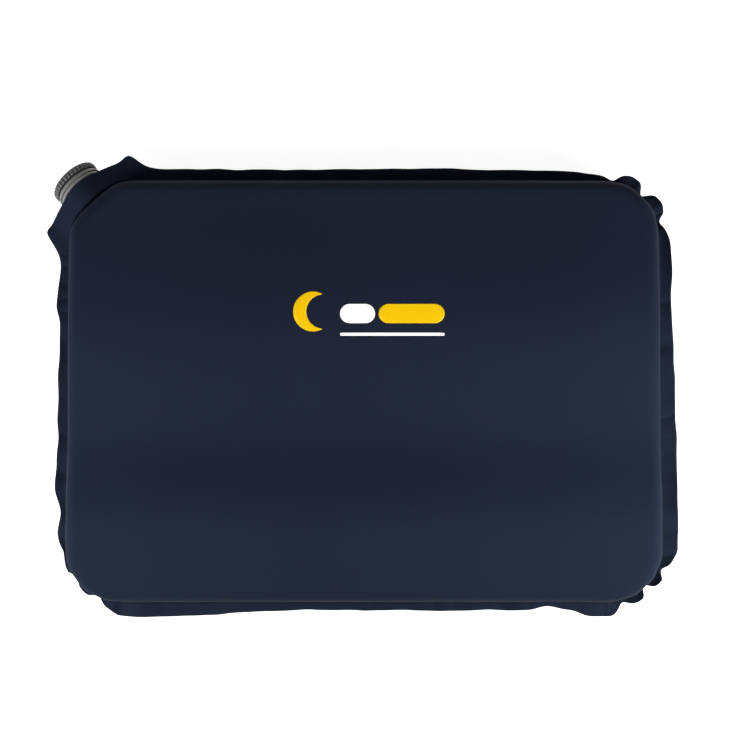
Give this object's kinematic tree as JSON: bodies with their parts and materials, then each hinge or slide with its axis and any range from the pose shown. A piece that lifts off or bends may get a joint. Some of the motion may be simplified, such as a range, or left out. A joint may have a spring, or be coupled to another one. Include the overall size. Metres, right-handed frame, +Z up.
{
  "type": "self-inflating camp pillow",
  "caption": "Rectangular self-inflating camp pillow with a contoured foam core, a welded two-sheet fabric cover with a flange at mid-height, and a screw air valve in one back corner.",
  "frame": {"origin": "under the middle of the whole pillow, on the surface that it lies on", "axes": "+X along the long side, +Y towards the edge with the valve, +Z up through the contoured face"},
  "size_m": [0.4618, 0.3366, 0.1],
  "materials": {
    "foam": "matte",
    "cover_fabric": "satin",
    "valve_plastic": "satin",
    "collar_plastic": "satin",
    "seal_rubber": "matte"
  },
  "bodies": {
    "pillow": {"foam_core": "foam", "top_cover": "cover_fabric", "bottom_cover": "cover_fabric", "valve_body": "valve_plastic", "valve_collar": "collar_plastic", "base_o_ring": "seal_rubber", "foam_guard": "collar_plastic"},
    "seal": {"knob_seal": "seal_rubber", "seal_button": "collar_plastic"},
    "knob": {"valve_knob": "valve_plastic"}
  },
  "joints": [
    {"name": "seal_lift", "type": "slide", "parent": "pillow", "child": "seal", "axis": [-0.6373, 0.6906, -0.342], "range_m": [0, 0.004]},
    {"name": "knob_turn", "type": "hinge", "parent": "seal", "child": "knob", "pos_m": [-0.20341, 0.14349, 0.04072], "axis": [-0.6373, 0.6906, -0.342], "range_deg": [0, 360]}
  ],
  "couplings": [
    {"joint": "seal_lift", "follows": "knob_turn", "m_per_rad": 0.00063662}
  ]
}
